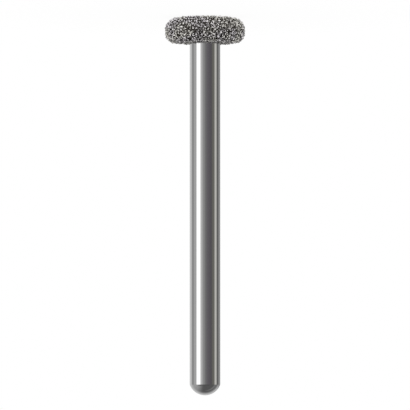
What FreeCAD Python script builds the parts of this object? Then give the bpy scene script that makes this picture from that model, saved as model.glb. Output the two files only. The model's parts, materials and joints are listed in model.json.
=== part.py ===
# Dental bur: a turned steel blank whose wheel head carries a plated layer of diamond grit.
# Lengths are in millimetres and angles in radians. The bur stands on the working face of its
# wheel: the origin is the middle of that face, level with the grain tips, and +Z runs up the shank.
import FreeCAD, Part, Sketcher
import math
import os
import random

Vector = FreeCAD.Vector

# Driving dimensions: alias, value and what it measures.
SIZES = (
    ("shank_diameter", 1.6, "diameter of the friction grip shank"),
    ("overall_length", 19.87, "working face to the tip of the rounded end"),
    ("dome_height", 0.575, "rise of the shank's rounded end"),
    ("shoulder_round", 0.15, "radius where the shank meets its rounded end"),
    ("wheel_diameter", 4.3, "diameter of the wheel over the grain tips"),
    ("wheel_width", 1.41, "width of the wheel over the grain tips"),
    ("rim_land", 0.18, "straight part of the rim between its two rounded edges"),
    ("working_edge_radius", 0.68, "rounding between the rim and the working face"),
    ("layer_thickness", 0.17, "steel to grain tips"),
    ("grain_height", 0.08, "height of a full grain over the nickel"),
    ("grain_pitch", 0.235, "spacing of the hollows between the grains"),
    ("collar_clearance", 0.05, "bare nickel between the shank and the first grains"),
)

NEAR = 1e-4  # lengths that differ by less are the same
GRAIN_SEED = 10
POLE_COUNT = 6  # hollows in the ring round the pole, and the fewest in any ring
HOLLOW_SHIFT = 0.22  # most that a hollow is moved sideways, as a share of its pitch
HOLLOW_DEPTH = 0.25  # most that a hollow sinks, as a share of the grain height
LEAST_GRAIN = 0.45  # lowest grain, as a share of the grain height
FULL_GRAINS = 0.3  # share of the grains that stand out in full
STANDING_GRAINS = 4  # highest grains of the working face, which the bur stands on
FACE_GRAIN = 0.95  # highest of the other grains that face down, as a share of the grain height
TIP_WANDER = 0.3  # how far a tip leaves the middle of its grain, as a share


def fill_sheet(doc):
    """Put the driving dimensions into a spreadsheet and return it."""
    sheet = doc.addObject("Spreadsheet::Sheet", "sizes")
    for row, (alias, value, meaning) in enumerate(SIZES, start=1):
        sheet.set(f"A{row}", alias)
        sheet.set(f"B{row}", str(value))
        sheet.set(f"C{row}", meaning)
        sheet.setAlias(f"B{row}", alias)
    doc.recompute()
    return sheet


def origin_plane(body, role):
    """One of the body's own origin planes, by its role."""
    return next(o for o in body.Origin.OriginFeatures if o.Role == role)


def tie(sketch, constraint, name, expression):
    """Add a named constraint and bind its value to the spreadsheet."""
    index = sketch.addConstraint(constraint)
    sketch.renameConstraint(index, name)
    sketch.setExpression(f"Constraints.{name}", expression)


def turned_section(body, sheet):
    """Half section of the blank, in the XZ plane: wheel core, shank and rounded end."""
    sketch = body.newObject("Sketcher::SketchObject", "turned_section")
    sketch.AttachmentSupport = (origin_plane(body, "XZ_Plane"), [""])
    sketch.MapMode = "FlatFace"

    layer = sheet.layer_thickness
    core = sheet.wheel_diameter / 2 - layer
    low = layer
    high = sheet.wheel_width - layer
    low_round = sheet.working_edge_radius - layer
    high_round = sheet.wheel_width - sheet.rim_land - sheet.working_edge_radius - layer
    shank = sheet.shank_diameter / 2
    shoulder = sheet.overall_length - sheet.dome_height
    dome = (shank**2 + sheet.dome_height**2) / (2 * sheet.dome_height)
    dome_middle = sheet.overall_length - dome

    def line(x1, z1, x2, z2):
        return sketch.addGeometry(Part.LineSegment(Vector(x1, z1, 0), Vector(x2, z2, 0)))

    def arc(x, z, radius, start, end):
        circle = Part.Circle(Vector(x, z, 0), Vector(0, 0, 1), radius)
        return sketch.addGeometry(Part.ArcOfCircle(circle, start, end))

    quarter = math.pi / 2
    face = line(0, low, core - low_round, low)
    low_edge = arc(core - low_round, low + low_round, low_round, -quarter, 0)
    rim = line(core, low + low_round, core, high - high_round)
    high_edge = arc(core - high_round, high - high_round, high_round, 0, quarter)
    back = line(core - high_round, high, shank, high)
    side = line(shank, high, shank, shoulder)
    end = arc(0, dome_middle, dome, math.asin((shoulder - dome_middle) / dome), quarter)
    axis = line(0, sheet.overall_length, 0, low)

    START, END, CENTRE = 1, 2, 3
    ORIGIN, VERTICAL_AXIS = -1, -2
    rule = Sketcher.Constraint
    smooth = ((face, END, low_edge, START), (rim, START, low_edge, END))
    smooth += ((rim, END, high_edge, START), (back, START, high_edge, END))
    for first, first_end, second, second_end in smooth:
        sketch.addConstraint(rule("Tangent", first, first_end, second, second_end))
    sharp = ((back, END, side, START), (side, END, end, START))
    sharp += ((end, END, axis, START), (axis, END, face, START))
    for first, first_end, second, second_end in sharp:
        sketch.addConstraint(rule("Coincident", first, first_end, second, second_end))
    for level in (face, back):
        sketch.addConstraint(rule("Horizontal", level))
    for upright in (rim, side):
        sketch.addConstraint(rule("Vertical", upright))
    sketch.addConstraint(rule("PointOnObject", face, START, VERTICAL_AXIS))
    sketch.addConstraint(rule("PointOnObject", end, END, VERTICAL_AXIS))
    sketch.addConstraint(rule("PointOnObject", end, CENTRE, VERTICAL_AXIS))

    tie(sketch, rule("DistanceY", ORIGIN, START, face, START, low), "core_bottom",
        "sizes.layer_thickness")
    tie(sketch, rule("DistanceY", ORIGIN, START, back, START, high), "core_top",
        "sizes.wheel_width - sizes.layer_thickness")
    tie(sketch, rule("DistanceX", ORIGIN, START, rim, START, core), "core_radius",
        "sizes.wheel_diameter / 2 - sizes.layer_thickness")
    tie(sketch, rule("Radius", low_edge, low_round), "working_edge",
        "sizes.working_edge_radius - sizes.layer_thickness")
    tie(sketch, rule("Radius", high_edge, high_round), "shank_edge",
        "sizes.wheel_width - sizes.rim_land - sizes.working_edge_radius"
        " - sizes.layer_thickness")
    tie(sketch, rule("DistanceX", ORIGIN, START, side, START, shank), "shank_radius",
        "sizes.shank_diameter / 2")
    tie(sketch, rule("DistanceY", ORIGIN, START, end, END, sheet.overall_length), "length",
        "sizes.overall_length")
    tie(sketch, rule("DistanceY", side, END, end, END, sheet.dome_height), "dome_rise",
        "sizes.dome_height")
    return sketch


def turned_blank(doc, sheet):
    """The steel blank, turned from one bar: wheel core, shank and rounded end."""
    body = doc.addObject("PartDesign::Body", "steel_blank")
    body.Label = "steel_blank"
    sketch = turned_section(body, sheet)
    doc.recompute()
    turning = body.newObject("PartDesign::Revolution", "turning")
    turning.Profile = sketch
    turning.ReferenceAxis = (sketch, ["V_Axis"])
    turning.Angle = 360
    doc.recompute()

    shoulder = sheet.overall_length - sheet.dome_height
    edges = enumerate(turning.Shape.Edges, start=1)
    rings = [f"Edge{n}" for n, e in edges if is_ring(e, shoulder, sheet.shank_diameter / 2)]
    rounding = body.newObject("PartDesign::Fillet", "shoulder_rounding")
    rounding.Base = (turning, rings)
    rounding.setExpression("Radius", "sizes.shoulder_round")
    doc.recompute()
    return body


def is_ring(edge, height, radius):
    """True for a full circle round the Z axis at that height, with that radius."""
    if edge.Degenerated or not isinstance(edge.Curve, Part.Circle):
        return False
    return abs(edge.Curve.Center.z - height) < NEAR and abs(edge.Curve.Radius - radius) < NEAR


class NickelOutline:
    """Half section of the nickel's outer face, walked from its pole to the collar."""

    def __init__(self, sheet):
        deep = sheet.grain_height
        shank_edge = sheet.wheel_width - sheet.rim_land - sheet.working_edge_radius
        self.radius = sheet.wheel_diameter / 2 - deep
        self.low = deep
        self.high = sheet.wheel_width - deep
        self.low_round = sheet.working_edge_radius - deep
        self.high_round = shank_edge - deep
        collar = sheet.shank_diameter / 2 + sheet.collar_clearance
        quarter = math.pi / 2
        self.flat = self.radius - self.low_round
        self.stretches = (
            (self.flat, self.on_working_face),
            (quarter * self.low_round, self.on_low_edge),
            (sheet.rim_land, self.on_rim),
            (quarter * self.high_round, self.on_high_edge),
            (self.radius - self.high_round - collar, self.on_back),
        )
        self.length = sum(length for length, _ in self.stretches)

    def on_working_face(self, way):
        return way, self.low, 0, -1

    def on_low_edge(self, way):
        out = math.sin(way / self.low_round)
        down = math.cos(way / self.low_round)
        radius = self.radius - self.low_round * (1 - out)
        return radius, self.low + self.low_round * (1 - down), out, -down

    def on_rim(self, way):
        return self.radius, self.low + self.low_round + way, 1, 0

    def on_high_edge(self, way):
        out = math.cos(way / self.high_round)
        up = math.sin(way / self.high_round)
        radius = self.radius - self.high_round * (1 - out)
        return radius, self.high - self.high_round * (1 - up), out, up

    def on_back(self, way):
        return self.radius - self.high_round - way, self.high, 0, 1

    def at(self, way):
        """Radius, height and outward direction at that distance from the pole."""
        for length, place in self.stretches[:-1]:
            if way <= length:
                return place(way)
            way -= length
        return self.stretches[-1][1](way)

    def place(self, way, angle, above):
        """The point that far above the nickel's face."""
        radius, height, out, up = self.at(way)
        radius += out * above
        return Vector(radius * math.cos(angle), radius * math.sin(angle), height + up * above)


class Hollow:
    """A low point between grains."""

    def __init__(self, outline, way, angle, sink):
        self.way = way
        self.angle = angle
        self.place = outline.place(way, angle, -sink)


def rings_of_hollows(outline, sheet, chance):
    """Rings of hollows from the pole to the collar, every other one turned by half a pitch."""
    triangle_height = sheet.grain_pitch * math.sqrt(3) / 2
    rows = round(outline.length / triangle_height)
    row_pitch = outline.length / rows
    rings = [[Hollow(outline, 0, 0, 0)]]
    for row in range(1, rows):
        around = math.tau * outline.at(row * row_pitch)[0]
        count = max(POLE_COUNT, round(around / sheet.grain_pitch))
        ring = []
        for step in range(count):
            along = chance.uniform(-HOLLOW_SHIFT, HOLLOW_SHIFT)
            aside = chance.uniform(-HOLLOW_SHIFT, HOLLOW_SHIFT)
            angle = math.tau * (step + (row % 2) / 2 + aside) / count
            sink = chance.uniform(0, HOLLOW_DEPTH) * sheet.grain_height
            ring.append(Hollow(outline, (row + along) * row_pitch, angle, sink))
        rings.append(ring)
    way = outline.length
    count = round(math.tau * outline.at(way)[0] / sheet.grain_pitch)
    rings.append([Hollow(outline, way, math.tau * step / count, 0) for step in range(count)])
    return rings


def stitch(inner, outer):
    """Triangles between two rings that may hold different numbers of hollows."""
    triangles = []
    a = b = 0
    while a < len(inner) or b < len(outer):
        here, there = inner[a % len(inner)], outer[b % len(outer)]
        inner_next, outer_next = inner[(a + 1) % len(inner)], outer[(b + 1) % len(outer)]
        inner_angle = inner_next.angle + math.tau * ((a + 1) // len(inner))
        outer_angle = outer_next.angle + math.tau * ((b + 1) // len(outer))
        if b == len(outer) or (a < len(inner) and inner_angle < outer_angle):
            triangles.append((here, there, inner_next))
            a += 1
        else:
            triangles.append((here, there, outer_next))
            b += 1
    return triangles


def grain_triangles(rings):
    """The three hollows round each grain, over the whole face."""
    pole, first = rings[0][0], rings[1]
    triangles = [(pole, first[step - 1], first[step]) for step in range(len(first))]
    for inner, outer in zip(rings[1:], rings[2:]):
        triangles += stitch(inner, outer)
    return triangles


class Grain:
    """A three-sided point that stands on three hollows."""

    def __init__(self, corners, chance):
        weights = [1 + chance.uniform(-TIP_WANDER, TIP_WANDER) for _ in corners]
        weights = [weight / sum(weights) for weight in weights]
        x = sum(corner.place.x * weight for corner, weight in zip(corners, weights))
        y = sum(corner.place.y * weight for corner, weight in zip(corners, weights))
        self.corners = corners
        self.way = sum(corner.way * weight for corner, weight in zip(corners, weights))
        self.angle = math.atan2(y, x)
        self.share = 1 if chance.random() < FULL_GRAINS else chance.uniform(LEAST_GRAIN, 1)

    def foot(self, outline):
        """Where the grain's middle stands on the nickel."""
        return outline.place(self.way, self.angle, 0)

    def tip(self, outline, full_height):
        return outline.place(self.way, self.angle, full_height * self.share)


def stand_firm(grains, outline, pitch):
    """Keep the grains that face down a little short, but for a few that the bur stands on."""
    for grain in grains:
        faces_down = outline.at(grain.way)[3] < 0
        if faces_down:
            grain.share = min(grain.share, FACE_GRAIN)
    on_flat = [grain for grain in grains if grain.way <= outline.flat]
    for step in range(STANDING_GRAINS):
        spot = outline.place(outline.flat - pitch / 2, math.tau * step / STANDING_GRAINS, 0)
        nearest = min(on_flat, key=lambda grain: grain.foot(outline).distanceToPoint(spot))
        nearest.share = 1


def facet(*corners):
    """A flat face on the given corners."""
    return Part.Face(Part.makePolygon([*corners, corners[0]]))


def grit_facets(rings, outline, sheet, chance):
    """Three facets for each grain."""
    grains = [Grain(corners, chance) for corners in grain_triangles(rings)]
    stand_firm(grains, outline, sheet.grain_pitch)
    facets = []
    for grain in grains:
        tip = grain.tip(outline, sheet.grain_height)
        corners = grain.corners
        for first, second in zip(corners, corners[1:] + corners[:1]):
            facets.append(facet(first.place, second.place, tip))
    return facets


def plated_seat(blank, level):
    """The blank's faces that the layer is plated on, and the ring where the shank leaves it."""
    reach = blank.BoundBox.DiagonalLength
    below = Part.makeBox(2 * reach, 2 * reach, level, Vector(-reach, -reach, 0))
    covered = blank.common(below)
    cut = next(face for face in covered.Faces if face.CenterOfMass.z > level - NEAR)
    seat = [face for face in covered.Faces if not face.isSame(cut)]
    return seat, cut.OuterWire


def diamond_layer(doc, sheet, blank):
    """The plated layer: grit outside, a flat collar round the shank, the blank's form inside."""
    outline = NickelOutline(sheet)
    chance = random.Random(GRAIN_SEED)
    rings = rings_of_hollows(outline, sheet, chance)
    seat, shank_ring = plated_seat(blank.Shape, outline.high)
    rim = [hollow.place for hollow in rings[-1]]
    edges = [Part.makePolygon([*rim, rim[0]]), shank_ring]
    collar = Part.makeFace(edges, "Part::FaceMakerBullseye")
    facets = grit_facets(rings, outline, sheet, chance)
    shell = Part.Shell([*facets, collar, *seat])
    shell.sewShape()
    solid = Part.Solid(shell)
    if solid.Volume < 0:
        solid.reverse()
    layer = doc.addObject("Part::Feature", "diamond_layer")
    layer.Label = "diamond_layer"
    layer.Shape = solid
    return layer


def check(doc, parts):
    """Stop on a failed feature or a sub-part that isn't one sound solid."""
    for item in doc.Objects:
        if {"Invalid", "Error"} & set(item.State):
            raise RuntimeError(f"{item.Name} failed: {item.State}")
    for part in parts:
        if part.Shape.isNull() or not part.Shape.isValid() or len(part.Shape.Solids) != 1:
            raise RuntimeError(f"{part.Label} isn't one valid solid")


def main():
    doc = FreeCAD.newDocument("dental_bur")
    sheet = fill_sheet(doc)
    blank = turned_blank(doc, sheet)
    layer = diamond_layer(doc, sheet, blank)
    parts = (blank, layer)
    check(doc, parts)
    os.makedirs("parts", exist_ok=True)
    for part in parts:
        part.Shape.exportStep(f"parts/{part.Label}.step")
        box = part.Shape.BoundBox
        print(f"{part.Label}: {part.Shape.Volume:.4f} mm3, {len(part.Shape.Faces)} faces,"
              f" {box.XLength:.3f} x {box.YLength:.3f} x {box.ZLength:.3f},"
              f" z {box.ZMin:.3f} to {box.ZMax:.3f}")


main()
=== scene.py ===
"""Dental bur: a polished steel shank with a rounded end and a wheel plated with diamond grains."""

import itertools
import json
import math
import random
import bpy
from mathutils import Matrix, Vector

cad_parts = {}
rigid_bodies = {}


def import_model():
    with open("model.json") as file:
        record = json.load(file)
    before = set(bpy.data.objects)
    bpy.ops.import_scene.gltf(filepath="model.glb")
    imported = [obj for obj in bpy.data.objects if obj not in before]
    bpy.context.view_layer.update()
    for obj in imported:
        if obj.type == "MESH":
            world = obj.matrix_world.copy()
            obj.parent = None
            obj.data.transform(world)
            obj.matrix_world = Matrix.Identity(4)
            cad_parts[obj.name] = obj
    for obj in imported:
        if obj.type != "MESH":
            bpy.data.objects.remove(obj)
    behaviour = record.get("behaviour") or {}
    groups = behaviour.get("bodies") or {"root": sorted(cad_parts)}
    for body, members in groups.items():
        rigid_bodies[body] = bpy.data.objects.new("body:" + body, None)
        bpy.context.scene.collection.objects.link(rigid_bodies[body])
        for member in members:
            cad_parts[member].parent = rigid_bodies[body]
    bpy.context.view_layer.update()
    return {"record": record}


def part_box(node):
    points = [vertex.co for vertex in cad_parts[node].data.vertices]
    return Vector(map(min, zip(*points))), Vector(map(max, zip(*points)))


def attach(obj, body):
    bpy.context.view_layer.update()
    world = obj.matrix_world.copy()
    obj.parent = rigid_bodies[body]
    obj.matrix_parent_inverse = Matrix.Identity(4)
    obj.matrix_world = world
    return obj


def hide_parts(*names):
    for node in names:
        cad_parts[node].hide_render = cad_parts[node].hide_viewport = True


bl_info = {
    "name": "Dental bur",
    "version": (1, 0, 0),
    "blender": (4, 5, 0),
    "location": "View3D > Sidebar > Dental bur",
    "description": "Models a diamond wheel bur, its finishes and a small studio round it",
    "category": "Object",
}

import bpy
from bpy.props import FloatProperty, FloatVectorProperty, IntProperty, PointerProperty
from mathutils import Euler, Vector

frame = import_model()

MM = 0.001
ROOT = "root"
STEEL_SLOT = "steel"
GRIT_SLOT = "diamond_grit"
QUARTER = math.pi / 2
WELD = 1e-7  # corners nearer than this are one
SMOOTH_ANGLE = math.radians(40)  # edges that turn by more than this stay sharp

# Rings of corners along each stretch of the half sections.
FACE_STEPS = 12
WORKING_EDGE_STEPS = 14
BACK_EDGE_STEPS = 12
BACK_STEPS = 8
SHOULDER_STEPS = 8
DOME_STEPS = 20

# How each crystal is cut from a cube. Its radius is that of a ball round it.
CUBE_SIDE = 1.5  # of the radius
CUT_DEPTHS = (0.72, 0.92)  # least and most distance of a cut from the middle, of the radius
LEAST_SLANT = 0.25  # least part that each axis has in a cut's direction
PROUD_CUTS = 3
PLAIN_CUTS = 9
CHIP_CUTS = 5

# How the crystals are strewn and set in the nickel.
SEED_STEP = 50  # between the seeds of two kinds of grains
TRIES = 4  # tries for each square as wide as the spacing
BESIDE = list(itertools.product((-1, 0, 1), repeat=3))  # from a cell to those that touch it
CRYSTAL_SIZES = (0.75, 1)  # smallest and largest copy of a crystal
UNEVEN = 0.035 * MM  # how much lower most grains stand than the few highest ones
RARENESS = 3  # the larger it is, the fewer grains stand high
CLEAR = 0.001 * MM  # keeps the sides of a leaning grain inside the wheel's outline

PICTURE_WIDTH = 410  # pixels
PIXELS_PER_MM = 19.05  # at the bur's axis
FLOOR_SIDES = 96

blank_low, blank_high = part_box("steel_blank")
grit_low, grit_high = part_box("diamond_layer")
shank_mount = next(m for m in frame["record"]["mounts"] if m["name"] == "shank")


class BlankSizes(bpy.types.PropertyGroup):
    """Sizes of the turned steel blank."""

    shank_radius: FloatProperty(
        name="Shank radius", description="Radius of the friction grip shank",
        default=shank_mount["dims"]["r_mm"] * MM, unit="LENGTH", precision=5)
    length: FloatProperty(
        name="Overall length", description="From the working face to the tip of the rounded end",
        default=blank_high.z, unit="LENGTH", precision=5)
    dome_rise: FloatProperty(
        name="Rise of the rounded end", description="Height of the shank's rounded end",
        default=0.56 * MM, unit="LENGTH", precision=5)
    shoulder_round: FloatProperty(
        name="Shoulder rounding", description="Radius where the shank meets its rounded end",
        default=0.06 * MM, unit="LENGTH", precision=5)
    segments: IntProperty(
        name="Segments", description="Facets round the bur's axis", default=192, min=12)


class WheelSizes(bpy.types.PropertyGroup):
    """Sizes of the wheel head and its plated layer."""

    radius: FloatProperty(
        name="Wheel radius", description="Radius over the grain tips",
        default=2.15 * MM, unit="LENGTH", precision=5)
    width: FloatProperty(
        name="Wheel width", description="Width over the grain tips",
        default=round(grit_high.z - grit_low.z, 5), unit="LENGTH", precision=5)
    rim_land: FloatProperty(
        name="Rim land", description="Straight part of the rim between its rounded edges",
        default=0.18 * MM, unit="LENGTH", precision=5)
    working_edge: FloatProperty(
        name="Working edge radius", description="Rounding between the rim and the working face",
        default=0.68 * MM, unit="LENGTH", precision=5)
    layer: FloatProperty(
        name="Layer thickness", description="From the steel to the grain tips",
        default=0.17 * MM, unit="LENGTH", precision=5)
    grain_height: FloatProperty(
        name="Grain height", description="How far the grain tips stand over the nickel",
        default=0.08 * MM, unit="LENGTH", precision=5)
    collar_gap: FloatProperty(
        name="Collar gap", description="Bare nickel between the shank and the first grains",
        default=0.04 * MM, unit="LENGTH", precision=5)


class GrainSizes(bpy.types.PropertyGroup):
    """Sizes of the diamond grains."""

    proud_radius: FloatProperty(
        name="Proud grain radius", description="Radius of a ball round a grain that stands proud",
        default=0.075 * MM, unit="LENGTH", precision=6)
    proud_spacing: FloatProperty(
        name="Proud grain spacing", description="Least distance between two proud grains",
        default=0.16 * MM, unit="LENGTH", precision=6)
    radius: FloatProperty(
        name="Grain radius", description="Radius of a ball round a plain grain",
        default=0.065 * MM, unit="LENGTH", precision=6)
    spacing: FloatProperty(
        name="Grain spacing", description="Least distance between two plain grains",
        default=0.12 * MM, unit="LENGTH", precision=6)
    chip_radius: FloatProperty(
        name="Chip radius", description="Radius of a ball round a small chip",
        default=0.04 * MM, unit="LENGTH", precision=6)
    chip_spacing: FloatProperty(
        name="Chip spacing", description="Least distance between two small chips",
        default=0.07 * MM, unit="LENGTH", precision=6)
    share: FloatProperty(
        name="Plain height", description="Height of the plain grains, of the proud ones' height",
        default=0.72, subtype="FACTOR")
    chip_share: FloatProperty(
        name="Chip height", description="Height of the chips, of the proud grains' height",
        default=0.55, subtype="FACTOR")
    shapes: IntProperty(
        name="Grain shapes", description="Different crystals that the grains are copied from",
        default=10, min=1)
    seed: IntProperty(name="Seed", description="Start of the random draws", default=12)


class Finishes(bpy.types.PropertyGroup):
    """Colours of the bur."""

    steel: FloatVectorProperty(
        name="Steel", description="Colour of the polished shank", subtype="COLOR",
        default=(0.62, 0.62, 0.62))
    # The nickel's colour is darkened as painted shade for the gaps between the grains.
    nickel: FloatVectorProperty(
        name="Nickel", description="Colour of the plate between the grains", subtype="COLOR",
        default=(0.065, 0.058, 0.052))
    dark_grain: FloatVectorProperty(
        name="Dark grain", description="Colour of the darkest grains", subtype="COLOR",
        default=(0.011, 0.008, 0.006))
    light_grain: FloatVectorProperty(
        name="Light grain", description="Colour of the lightest grains", subtype="COLOR",
        default=(1.0, 0.98, 0.925))
    cool_grain: FloatVectorProperty(
        name="Cool grain", description="Colour of the lightest grains in cooler patches",
        subtype="COLOR", default=(1.0, 0.965, 0.99))


class StudioSizes(bpy.types.PropertyGroup):
    """Camera and floor."""

    distance: FloatProperty(
        name="Camera distance", description="From the lens to the bur's axis, along the floor",
        default=240 * MM, unit="LENGTH")
    eye_level: FloatProperty(
        name="Eye level", description="Height of the lens over the floor",
        default=19.05 * MM, unit="LENGTH", precision=5)
    aim_level: FloatProperty(
        name="Aim level", description="Height on the bur's axis that is in the picture's middle",
        default=9.893 * MM, unit="LENGTH", precision=5)
    image_width: FloatProperty(
        name="Image width", description="Width of the picture at the bur's axis",
        default=PICTURE_WIDTH / PIXELS_PER_MM * MM, unit="LENGTH", precision=5)
    floor_radius: FloatProperty(
        name="Floor radius", description="Radius of the round white floor",
        default=14 * MM, unit="LENGTH")


def deselect_all():
    """Leave nothing selected in object mode."""
    for thing in bpy.context.selected_objects:
        thing.select_set(False)


def name_piece(piece, name, slot, material, *nodes):
    """Name a finished piece, give it its material and let it ride in place of the CAD nodes."""
    piece.name = name
    piece.data.name = name
    piece.data.materials.clear()
    piece.data.materials.append(material)
    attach(piece, ROOT)
    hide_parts(*nodes)


def arc(middle_radius, middle_height, radius, start, end, steps):
    """Points on an arc of a half section, as pairs of radius and height."""
    angles = (start + (end - start) * step / steps for step in range(steps + 1))
    return [(middle_radius + radius * math.cos(a), middle_height + radius * math.sin(a))
            for a in angles]


def wheel_section(sizes, depth, inner_radius):
    """Half section of the wheel that far under its grain tips, from its pole to the shank."""
    low = depth
    high = sizes.width - depth
    reach = sizes.radius - depth
    low_round = sizes.working_edge - depth
    high_round = sizes.width - sizes.rim_land - sizes.working_edge - depth
    flat = reach - low_round
    back = reach - high_round
    section = [(flat * step / FACE_STEPS, low) for step in range(1, FACE_STEPS)]
    section += arc(flat, low + low_round, low_round, -QUARTER, 0, WORKING_EDGE_STEPS)
    section += arc(back, high - high_round, high_round, 0, QUARTER, BACK_EDGE_STEPS)
    section += [(back + (inner_radius - back) * step / BACK_STEPS, high)
                for step in range(1, BACK_STEPS + 1)]
    return section


def blank_section(blank, wheel):
    """Half section of the steel: wheel core, shank, shoulder and rounded end."""
    rise, radius = blank.dome_rise, blank.shank_radius
    dome = (radius**2 + rise**2) / (2 * rise)
    middle = blank.length - dome
    fillet = blank.shoulder_round
    along = radius - fillet
    tilt = math.acos(along / (dome - fillet))
    section = wheel_section(wheel, wheel.layer, radius)
    section += [(radius, middle + (dome - fillet) * math.sin(tilt))]
    section += arc(along, section[-1][1], fillet, 0, tilt, SHOULDER_STEPS)[1:]
    section += arc(0, middle, dome, tilt, QUARTER, DOME_STEPS)[1:-1]
    return section


def turn(section, segments, last_height):
    """A closed turned form: one ring, extruded and resized from point to point of a section."""
    deselect_all()
    radius, height = section[0]
    bpy.ops.mesh.primitive_circle_add(
        vertices=segments, radius=radius, fill_type="TRIFAN", location=(0, 0, height))
    bpy.ops.object.transform_apply()
    bpy.ops.object.mode_set(mode="EDIT")
    bpy.ops.mesh.select_all(action="SELECT")
    bpy.ops.mesh.region_to_loop()
    for next_radius, next_height in section[1:]:
        bpy.ops.mesh.extrude_edges_move(
            TRANSFORM_OT_translate={"value": (0, 0, next_height - height)})
        grow = next_radius / radius
        bpy.ops.transform.resize(
            value=(grow, grow, 1), center_override=(0, 0, next_height))
        radius, height = next_radius, next_height
    bpy.ops.mesh.extrude_edges_move(
        TRANSFORM_OT_translate={"value": (0, 0, last_height - height)})
    bpy.ops.mesh.merge(type="CENTER")
    bpy.ops.mesh.select_all(action="SELECT")
    bpy.ops.mesh.normals_make_consistent(inside=False)
    bpy.ops.object.mode_set(mode="OBJECT")
    return bpy.context.object


class Wire:
    """One output of a node. Sums and products of wires add Math nodes."""

    def __init__(self, board, socket):
        self.board = board
        self.socket = socket

    def also(self, output):
        """Another output of the same node."""
        return Wire(self.board, self.socket.node.outputs[output])

    def math(self, operation, *numbers):
        """A Math node on numbers or wires."""
        return self.board.add(
            "ShaderNodeMath", {"operation": operation}, dict(enumerate(numbers)))

    def __add__(self, other):
        return self.math("ADD", self, other)

    __radd__ = __add__

    def __sub__(self, other):
        return self.math("SUBTRACT", self, other)

    def __rsub__(self, other):
        return self.math("SUBTRACT", other, self)

    def __mul__(self, other):
        return self.math("MULTIPLY", self, other)

    __rmul__ = __mul__

    def __neg__(self):
        return self * -1


class Board:
    """The nodes of one material, world or modifier."""

    def __init__(self, tree):
        self.tree = tree
        tree.nodes.clear()

    def add(self, kind, settings=(), inputs=(), output=0):
        """A node with its settings made first, then its sockets' values or links."""
        node = self.tree.nodes.new(kind)
        for name, value in dict(settings).items():
            if name == "stops":
                self.set_stops(node.color_ramp, value)
            else:
                setattr(node, name, value)
        for name, value in dict(inputs).items():
            if isinstance(value, Wire):
                self.tree.links.new(value.socket, node.inputs[name])
            else:
                node.inputs[name].default_value = value
        return Wire(self, node.outputs[output]) if node.outputs else node

    def set_stops(self, ramp, stops):
        """Give a colour ramp its stops, as pairs of place and colour."""
        while len(ramp.elements) > 1:
            ramp.elements.remove(ramp.elements[-1])
        ramp.elements[0].position = stops[0][0]
        ramp.elements[0].color = (*stops[0][1], 1)
        for place, colour in stops[1:]:
            ramp.elements.new(place).color = (*colour, 1)

    def mix(self, share, first, second):
        """Blend of two colours."""
        return self.add("ShaderNodeMix", {"data_type": "RGBA"},
                        {0: share, 6: first, 7: second}, 2)

    def ease(self, value, start, end):
        """Rises smoothly from 0 at start to 1 at end."""
        return self.add("ShaderNodeMapRange", {"interpolation_type": "SMOOTHSTEP"},
                        {"Value": value, "From Min": start, "From Max": end})

    def band(self, value, start, full, last, end):
        """Rises smoothly from 0 at start to 1 at full, and falls to 0 from last to end."""
        return self.ease(value, start, full) * (1 - self.ease(value, last, end))

    def noise(self, place, lumps, detail):
        """Noise from 0 to 1, with about so many lumps to a millimetre."""
        return self.add("ShaderNodeTexNoise", {},
                        {"Vector": place, "Scale": lumps / MM, "Detail": detail}, "Fac")


def new_material(name):
    """A material and its empty board."""
    material = bpy.data.materials.new(name)
    material.use_nodes = True
    return material, Board(material.node_tree)


def shaded(colour, share=1):
    """A colour times a share, with its alpha."""
    return (*(share * part for part in colour), 1)


def grey(level):
    """A grey with its alpha."""
    return (level, level, level, 1)


RING_SQUEEZE = 12  # how much finer the grinding rings are along the shank than round it
FACETS = 22.5  # to a millimetre
LIGHT_FACETS = (0.235, 0.285)  # between these chances a facet turns from dark to light
DIAMOND_IOR = 2.42

# Heights over the working face between which painted shade and painted light come into the grains'
# colour.
SHADE_TOWARDS_SHANK = (0.2 * MM, 1.3 * MM)
PAINTED_LIGHT_HEIGHTS = (0.75 * MM, 1.1 * MM)
BACK_FLAT_SHADE = (1.2 * MM, 1.35 * MM)


def polished_steel(finishes):
    """Ground and polished steel, with the faint rings that the grinding wheel leaves."""
    material, board = new_material("polished_steel")
    place = board.add("ShaderNodeTexCoord", {}, {}, "Object")
    squeezed = board.add("ShaderNodeMapping", {}, {
        "Vector": place, "Scale": (1, 1, RING_SQUEEZE)})
    rings = board.noise(squeezed, lumps=2.5, detail=3)
    rub = board.noise(place, lumps=0.9, detail=4)
    tone = board.mix(rings, shaded(finishes.steel, 0.94), shaded(finishes.steel))
    bump = board.add("ShaderNodeBump", {}, {
        "Strength": 0.04, "Distance": 0.002 * MM, "Height": rings})
    shader = board.add("ShaderNodeBsdfPrincipled", {}, {
        "Base Color": tone, "Metallic": 1.0, "Roughness": 0.03 + 0.03 * rub, "Normal": bump})
    board.add("ShaderNodeOutputMaterial", {}, {"Surface": shader})
    return material


def nickel_plate(finishes):
    """Dull nickel between the grains, lumpy where it climbs them. Its colour is darkened far below
    bright nickel, as painted shade in the gaps between the grains.
    """
    material, board = new_material("nickel_plate")
    place = board.add("ShaderNodeTexCoord", {}, {}, "Object")
    lumps = board.noise(place, lumps=9, detail=3)
    tone = board.mix(lumps, shaded(finishes.nickel, 0.45), shaded(finishes.nickel))
    bump = board.add("ShaderNodeBump", {}, {
        "Strength": 0.6, "Distance": 0.02 * MM, "Height": lumps})
    shader = board.add("ShaderNodeBsdfPrincipled", {}, {
        "Base Color": tone, "Metallic": 1.0, "Roughness": 0.3 + 0.25 * lumps,
        "Specular Tint": grey(0.2), "Normal": bump})
    board.add("ShaderNodeOutputMaterial", {}, {"Surface": shader})
    return material


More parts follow.
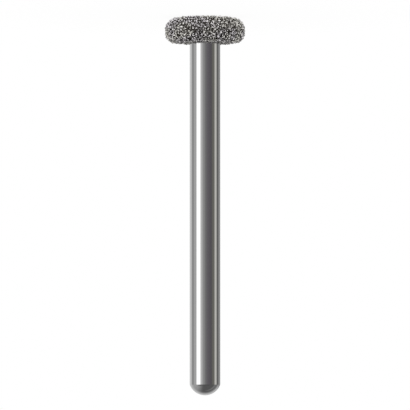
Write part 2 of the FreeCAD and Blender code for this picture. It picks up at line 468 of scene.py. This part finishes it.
def diamond_grains(finishes):
    """Diamond grains with a thin nickel flash. Their facets are dark or light by chance."""
    material, board = new_material("diamond_grains")
    place = board.add("ShaderNodeTexCoord", {}, {}, "Object")
    grain = board.add("ShaderNodeNewGeometry", {}, {}, "Random Per Island")
    cells = board.add("ShaderNodeTexVoronoi", {}, {
        "Vector": place, "Scale": FACETS / MM}, "Color")
    facet = board.add("ShaderNodeSeparateColor", {}, {"Color": cells}, "Red")
    fine = board.noise(place, lumps=30, detail=2)
    patches = board.ease(board.noise(place, lumps=1.5, detail=1), 0.42, 0.58)
    light = board.mix(patches, shaded(finishes.light_grain), shaded(finishes.cool_grain))

    # Painted shade darkens the grains towards the shank, and more on the flat behind the rim.
    # Painted light lightens them on the shank-side rounding, where they are also less metallic.
    height = board.add("ShaderNodeSeparateXYZ", {}, {"Vector": place}, "Z")
    dark = board.ease(height, *SHADE_TOWARDS_SHANK)
    painted_light_band = board.ease(height, *PAINTED_LIGHT_HEIGHTS)
    dull = board.ease(height, *BACK_FLAT_SHADE)
    # Painted shade lowers the share towards the shank and on the back flat, and painted light
    # raises it on the shank-side rounding.
    share = 0.2 * grain + 0.8 * facet - 0.18 * dark + 0.12 * painted_light_band - 0.22 * dull
    tone = board.mix(board.ease(share, *LIGHT_FACETS), shaded(finishes.dark_grain), light)
    shader = board.add("ShaderNodeBsdfPrincipled", {}, {
        "Base Color": tone, "Metallic": 0.6 - 0.3 * painted_light_band, "Roughness": 0.03 + 0.05 * fine,
        "IOR": DIAMOND_IOR, "Specular Tint": grey(0.1)})
    board.add("ShaderNodeOutputMaterial", {}, {"Surface": shader})
    return material


class BUR_OT_blank(bpy.types.Operator):
    """Turn the steel blank and polish it"""

    bl_idname = "bur.blank"
    bl_label = "Steel blank"

    def execute(self, context):
        scene = context.scene
        blank = scene.bur_blank
        section = blank_section(blank, scene.bur_wheel)
        piece = turn(section, blank.segments, blank.length)
        bpy.ops.object.shade_smooth_by_angle(angle=SMOOTH_ANGLE)
        name_piece(piece, "shank_and_core", STEEL_SLOT,
                   polished_steel(scene.bur_finishes), "steel_blank")
        return {"FINISHED"}


class BUR_OT_nickel(bpy.types.Operator):
    """Lay the nickel plate on the wheel's core"""

    bl_idname = "bur.nickel"
    bl_label = "Nickel plate"

    def execute(self, context):
        scene = context.scene
        blank, wheel = scene.bur_blank, scene.bur_wheel
        outside = wheel_section(wheel, wheel.grain_height, blank.shank_radius)
        inside = wheel_section(wheel, wheel.layer, blank.shank_radius)
        piece = turn(outside + inside[::-1], blank.segments, wheel.layer)
        bpy.ops.object.shade_smooth_by_angle(angle=SMOOTH_ANGLE)
        name_piece(piece, "nickel_plate", GRIT_SLOT,
                   nickel_plate(scene.bur_finishes), "diamond_layer")
        return {"FINISHED"}


def cut_crystal(radius, cuts, chance):
    """A blocky crystal: a cube with corners and edges cut away by planes at random."""
    deselect_all()
    bpy.ops.mesh.primitive_cube_add(size=CUBE_SIDE * radius, location=(0, 0, 0))
    bpy.ops.object.mode_set(mode="EDIT")
    for _ in range(cuts):
        way = Vector([chance.choice((-1, 1)) * chance.uniform(LEAST_SLANT, 1) for _ in range(3)])
        way.normalize()
        bpy.ops.mesh.select_all(action="SELECT")
        bpy.ops.mesh.bisect(
            plane_co=way * radius * chance.uniform(*CUT_DEPTHS), plane_no=way,
            use_fill=True, clear_outer=True, threshold=WELD)
    bpy.ops.mesh.select_all(action="SELECT")
    bpy.ops.mesh.normals_make_consistent(inside=False)
    bpy.ops.object.mode_set(mode="OBJECT")
    crystal = bpy.context.object
    reach = max(corner.co.length for corner in crystal.data.vertices)
    bpy.ops.transform.resize(value=(radius / reach,) * 3)
    bpy.ops.object.transform_apply()
    return crystal


def crystal_box(name, radius, cuts, count, chance):
    """A collection of different crystals to copy, in the order of their names."""
    box = bpy.data.collections.new(name)
    for number in range(count):
        crystal = cut_crystal(radius, cuts, chance)
        crystal.name = f"{name}_{number:03d}"
        for holder in crystal.users_collection:
            holder.objects.unlink(crystal)
        box.objects.link(crystal)
    return box


def strewn_places(section, spacing, chance):
    """Places on the surface that a half section turns, each with the way out of the surface."""
    strips = list(zip(section, section[1:]))
    areas = [math.dist(start, end) * (start[0] + end[0]) / 2 for start, end in strips]
    tries = int(TRIES * math.tau * sum(areas) / spacing**2)
    taken = {}
    places = []
    for start, end in chance.choices(strips, areas, k=tries):
        radius, height = Vector(start).lerp(Vector(end), chance.random())
        angle = chance.uniform(0, math.tau)
        across, along = math.cos(angle), math.sin(angle)
        place = Vector((radius * across, radius * along, height))
        cell = [int(part // spacing) for part in place]
        near = (taken.get(tuple(c + step for c, step in zip(cell, steps)), ()) for steps in BESIDE)
        if any((place - other).length < spacing for others in near for other in others):
            continue
        taken.setdefault(tuple(cell), []).append(place)
        rise, run = end[1] - start[1], end[0] - start[0]
        places.append((place, Vector((rise * across, rise * along, -run)).normalized()))
    return places


def seat_points(name, places, height, crystals, chance):
    """Loose points that say where each crystal goes, its turn, its size and its shape.

    Each crystal is sunk until its tip stands about that height over the surface.
    """
    shapes = [[corner.co for corner in crystal.data.vertices] for crystal in crystals]
    points, turns, sizes, picks = [], [], [], []
    for place, way in places:
        turn_round = Euler([chance.uniform(0, math.tau) for _ in range(3)])
        size = chance.uniform(*CRYSTAL_SIZES)
        pick = chance.randrange(len(shapes))
        to_way = turn_round.to_matrix().transposed() @ way
        tip = size * max(corner.dot(to_way) for corner in shapes[pick])
        sunk = UNEVEN * (1 - chance.random()**RARENESS)
        points.append(place + way * (height - sunk - tip))
        turns.extend(turn_round)
        sizes.append(size)
        picks.append(pick)
    mesh = bpy.data.meshes.new(name)
    mesh.from_pydata(points, [], [])
    mesh.attributes.new("turn", "FLOAT_VECTOR", "POINT").data.foreach_set("vector", turns)
    mesh.attributes.new("size", "FLOAT", "POINT").data.foreach_set("value", sizes)
    mesh.attributes.new("shape", "INT", "POINT").data.foreach_set("value", picks)
    seat = bpy.data.objects.new(name, mesh)
    bpy.context.collection.objects.link(seat)
    return seat


def copy_tree(box):
    """Geometry nodes that copy a box's crystals to points, as the points' attributes say."""
    tree = bpy.data.node_groups.new("copy_" + box.name, "GeometryNodeTree")
    tree.interface.new_socket("Geometry", in_out="INPUT", socket_type="NodeSocketGeometry")
    tree.interface.new_socket("Geometry", in_out="OUTPUT", socket_type="NodeSocketGeometry")
    board = Board(tree)

    def attribute(name, kind):
        return board.add("GeometryNodeInputNamedAttribute", {"data_type": kind}, {"Name": name})

    crystals = board.add("GeometryNodeCollectionInfo", {}, {
        "Collection": box, "Separate Children": True, "Reset Children": True})
    copies = board.add("GeometryNodeInstanceOnPoints", {}, {
        "Points": board.add("NodeGroupInput"), "Instance": crystals, "Pick Instance": True,
        "Instance Index": attribute("shape", "INT"), "Scale": attribute("size", "FLOAT"),
        "Rotation": attribute("turn", "FLOAT_VECTOR")})
    real = board.add("GeometryNodeRealizeInstances", {}, {"Geometry": copies})
    board.add("NodeGroupOutput", {}, {0: real})
    return tree


def strew(scene, name, radius, spacing, share, cuts, seed):
    """Crystals set over the wheel's nickel, as one mesh. Share is how high they stand."""
    wheel, blank = scene.bur_wheel, scene.bur_blank
    chance = random.Random(seed)
    section = wheel_section(wheel, wheel.grain_height, blank.shank_radius + wheel.collar_gap)
    places = strewn_places([(0, section[0][1]), *section], spacing, chance)
    box = crystal_box(name, radius, cuts, scene.bur_grains.shapes, chance)
    height = (wheel.grain_height - CLEAR) * share
    seat = seat_points(name, places, height, list(box.objects), chance)
    modifier = seat.modifiers.new("copy", "NODES")
    modifier.node_group = copy_tree(box)
    deselect_all()
    seat.select_set(True)
    bpy.context.view_layer.objects.active = seat
    bpy.ops.object.modifier_apply(modifier="copy")
    for crystal in list(box.objects):
        bpy.data.objects.remove(crystal)
    bpy.data.collections.remove(box)
    return seat


class BUR_OT_grains(bpy.types.Operator):
    """Set diamond grains and small chips in the nickel"""

    bl_idname = "bur.grains"
    bl_label = "Diamond grains"

    def execute(self, context):
        scene = context.scene
        sizes = scene.bur_grains
        material = diamond_grains(scene.bur_finishes)
        kinds = (
            ("proud_grains", sizes.proud_radius, sizes.proud_spacing, 1, PROUD_CUTS),
            ("plain_grains", sizes.radius, sizes.spacing, sizes.share, PLAIN_CUTS),
            ("diamond_chips", sizes.chip_radius, sizes.chip_spacing, sizes.chip_share, CHIP_CUTS),
        )
        for number, (name, radius, spacing, share, cuts) in enumerate(kinds):
            seed = sizes.seed + SEED_STEP * number
            piece = strew(scene, name, radius, spacing, share, cuts, seed)
            name_piece(piece, name, GRIT_SLOT, material, "diamond_layer")
        return {"FINISHED"}


VIOLET = (1.0, 0.93, 1.03)
OLIVE = (1.0, 0.985, 0.88)
CREAM = (1.0, 0.985, 0.93)
PLAIN = (1.0, 1.0, 1.0)

# What stands round the bur at eye level, from the back by the picture's left and front to its
# right: where it starts and ends, in degrees from the front, how bright it is there, and its tint.
STUDIO_CARDS = (
    ("white backdrop, left half", -180, -160, 0.35, 0.75, PLAIN),
    ("white card beside it", -150, -122, 0.85, 0.78, PLAIN),
    ("grey flag", -116, -97, 0.42, 0.37, PLAIN),
    ("grey wall", -92, -71, 0.57, 0.57, PLAIN),
    ("soft window lamp", -63.5, -38, 1.75, 1.75, PLAIN),
    ("wall by the lamp, falling off", -33, -11, 0.85, 0.38, PLAIN),
    ("front wall", -4, 4, 0.36, 0.24, PLAIN),
    ("dark front wall", 20, 48, 0.18, 0.13, VIOLET),
    ("curtain", 62, 72, 0.205, 0.2, OLIVE),
    ("strip lamp", 84.5, 93, 0.80, 0.75, CREAM),
    ("black flag", 106, 114, 0.13, 0.15, PLAIN),
    ("grey card", 122, 150, 0.33, 0.41, PLAIN),
    ("white backdrop, right half", 167, 180, 0.45, 0.35, PLAIN),
)
BRIGHTEST = 2.0  # a ramp holds shares of this

# How bright the studio is over and under its cards, and for what isn't a mirror.
CEILING = 0.14
LEFT_CEILING = 0.52
BACK_CEILING = 0.8
STRIP_TOP = 0.25
CEILING_GAP = 0.1
UNDERSIDE = 0.6
EVEN_LIGHT = 0.85
FLOOR_GLOW = 0.95  # share of the floor's white that the bur's shadow doesn't take
FADE_START = 1 / 3  # of the floor's radius


def light_paths(board):
    """1 for what the camera sees straight, and 1 for what it sees in metal or glass."""
    seen = board.add("ShaderNodeLightPath", {}, {}, "Is Camera Ray")
    mirrored = seen.math("MAXIMUM", seen.also("Is Glossy Ray"), seen.also("Is Transmission Ray"))
    return seen, mirrored


def studio_world():
    """White to the camera, cards and lamps to glossy surfaces, and even light to dull ones."""
    world = bpy.data.worlds.new("studio")
    world.use_nodes = True
    board = Board(world.node_tree)

    # Each runs from -1 to 1: x to the picture's left, y away from the camera and z upwards.
    way = board.add("ShaderNodeTexCoord", {}, {}, "Generated")
    x = board.add("ShaderNodeSeparateXYZ", {}, {"Vector": way}, "X")
    y, z = x.also("Y"), x.also("Z")

    # The ring of cards, by the share of a whole turn from the back.
    turn_share = x.math("ARCTAN2", -x, -y) * (1 / math.tau) + 0.5
    stops = []
    for _, start, end, first, last, tint in STUDIO_CARDS:
        for degrees, level in ((start, first), (end, last)):
            stops.append(((degrees + 180) / 360, [level / BRIGHTEST * part for part in tint]))
    ring = board.add("ShaderNodeValToRGB", {"stops": stops}, {"Fac": turn_share})

    def lit(level):
        """A grey that is that bright at the world's strength."""
        return grey(level / BRIGHTEST)

    # Over the cards: a dim ceiling, lighter to the left and behind, with the strip lamp's top
    # and a black gap.
    over = board.mix(board.ease(x, 0.1, 0.85), lit(CEILING), lit(LEFT_CEILING))
    over = board.mix(board.band(turn_share, 0.72, 0.745, 0.79, 0.82), over, lit(STRIP_TOP))
    over = board.mix(board.ease(y, 0.2, 0.95), over, lit(BACK_CEILING))
    gap = board.band(z, 0.42, 0.5, 0.66, 0.74) * board.band(x, -0.55, -0.35, 0.45, 0.8)
    gap *= 1 - board.ease(y, 0.1, 0.4)
    over = board.mix(gap, over, lit(CEILING_GAP))
    walls = board.mix(board.ease(z, 0.22, 0.42), ring, over)

    # Towards the floor: the cards with a quarter of even light.
    under = board.mix(0.25, ring, lit(UNDERSIDE))
    walls = board.mix(board.ease(z, -0.2, -0.6), walls, under)

    seen, mirrored = light_paths(board)
    studio = board.add("ShaderNodeBackground", {}, {"Color": walls, "Strength": BRIGHTEST})
    even = board.add("ShaderNodeBackground", {}, {"Color": grey(EVEN_LIGHT), "Strength": 1.0})
    white = board.add("ShaderNodeBackground", {}, {"Color": grey(1), "Strength": 1.0})
    light = board.add("ShaderNodeMixShader", {}, {0: mirrored, 1: even, 2: studio})
    light = board.add("ShaderNodeMixShader", {}, {0: seen, 1: light, 2: white})
    board.add("ShaderNodeOutputWorld", {}, {"Surface": light})
    return world


def pale_floor(radius):
    """White to the camera and in the metal, but for the bur's soft shadow. It fades outwards."""
    material, board = new_material("pale_floor")
    place = board.add("ShaderNodeTexCoord", {}, {}, "Object")
    distance = board.add("ShaderNodeVectorMath", {"operation": "LENGTH"}, {0: place}, "Value")
    seen, mirrored = light_paths(board)
    shown = seen.math("MAXIMUM", seen, mirrored)
    paper = board.add("ShaderNodeBsdfDiffuse", {}, {"Color": grey(1)})
    glow = board.add("ShaderNodeEmission", {}, {"Color": grey(1), "Strength": 1.0})
    sheet = board.add("ShaderNodeMixShader", {}, {0: shown * FLOOR_GLOW, 1: paper, 2: glow})
    air = board.add("ShaderNodeBsdfTransparent")
    shader = board.add("ShaderNodeMixShader", {}, {
        0: board.ease(distance, radius * FADE_START, radius), 1: sheet, 2: air})
    board.add("ShaderNodeOutputMaterial", {}, {"Surface": shader})
    return material


class BUR_OT_stage(bpy.types.Operator):
    """Lay the floor, light the studio and set the camera"""

    bl_idname = "bur.stage"
    bl_label = "Stage"

    def execute(self, context):
        scene = context.scene
        sizes = scene.bur_studio
        scene.world = studio_world()
        deselect_all()
        bpy.ops.mesh.primitive_circle_add(
            vertices=FLOOR_SIDES, radius=sizes.floor_radius, fill_type="NGON")
        floor = context.object
        floor.name = "floor"
        floor.data.materials.append(pale_floor(sizes.floor_radius))

        # The picture shows the wheel at its top, so the camera is held upside down.
        drop = sizes.eye_level - sizes.aim_level
        tilt = math.atan2(drop, sizes.distance)
        bpy.ops.object.camera_add(
            location=(0, -sizes.distance, sizes.eye_level), rotation=(QUARTER + tilt, math.pi, 0))
        camera = context.object
        camera.name = "camera"
        reach = math.hypot(sizes.distance, drop)
        camera.data.lens = camera.data.sensor_width * reach / sizes.image_width
        camera.data.clip_start = MM
        scene.camera = camera
        scene.view_settings.view_transform = "Standard"
        return {"FINISHED"}


class BUR_PT_panel(bpy.types.Panel):
    """The bur's pieces, in the order in which they are made"""

    bl_idname = "BUR_PT_panel"
    bl_label = "Dental bur"
    bl_space_type = "VIEW_3D"
    bl_region_type = "UI"
    bl_category = "Dental bur"

    def draw(self, context):
        for operator in OPERATORS:
            self.layout.operator(operator.bl_idname)


GROUPS = {
    "bur_blank": BlankSizes,
    "bur_wheel": WheelSizes,
    "bur_grains": GrainSizes,
    "bur_finishes": Finishes,
    "bur_studio": StudioSizes,
}
OPERATORS = (BUR_OT_blank, BUR_OT_nickel, BUR_OT_grains, BUR_OT_stage)
CLASSES = (*GROUPS.values(), *OPERATORS, BUR_PT_panel)


def register():
    """Make the classes and the scene's groups of sizes known to Blender."""
    for cls in CLASSES:
        bpy.utils.register_class(cls)
    for name, group in GROUPS.items():
        setattr(bpy.types.Scene, name, PointerProperty(type=group))


def unregister():
    """Take back what register made known."""
    for name in GROUPS:
        delattr(bpy.types.Scene, name)
    for cls in reversed(CLASSES):
        bpy.utils.unregister_class(cls)


def main():
    """Make the bur and its stage."""
    register()
    bpy.ops.bur.blank()
    bpy.ops.bur.nickel()
    bpy.ops.bur.grains()
    bpy.ops.bur.stage()


if __name__ == "__main__":
    main()
